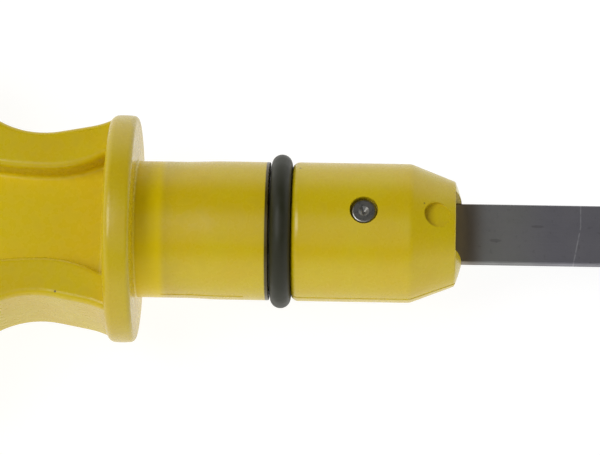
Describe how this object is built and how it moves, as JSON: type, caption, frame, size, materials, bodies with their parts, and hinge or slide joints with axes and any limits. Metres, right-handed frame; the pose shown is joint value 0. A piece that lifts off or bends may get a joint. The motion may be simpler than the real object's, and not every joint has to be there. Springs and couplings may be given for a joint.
{
  "type": "fluid dipstick",
  "caption": "Fluid-level dipstick: a moulded T-handle with a flange, seal groove, O-ring and tapered nose, and a flat steel blade held by a cross pin.",
  "frame": {"origin": "on the dipstick's axis, in the plane of the flange's seat face", "axes": "+X along the axis towards the blade's tip, +Z square to the handle's broad face and along the cross pin, +Y across the T-handle"},
  "size_m": [0.2094, 0.0394, 0.0222],
  "materials": {
    "handle_plastic": "satin moulded yellow, slightly soiled",
    "ring_rubber": "smooth black rubber with a dull sheen",
    "pin_steel": "turned end, slightly tarnished",
    "blade_steel": "darkened rolled strip with lengthwise scratches"
  },
  "bodies": {
    "root": {"handle": "handle_plastic", "o_ring": "ring_rubber", "retaining_pin": "pin_steel", "blade": "blade_steel"}
  },
  "joints": []
}
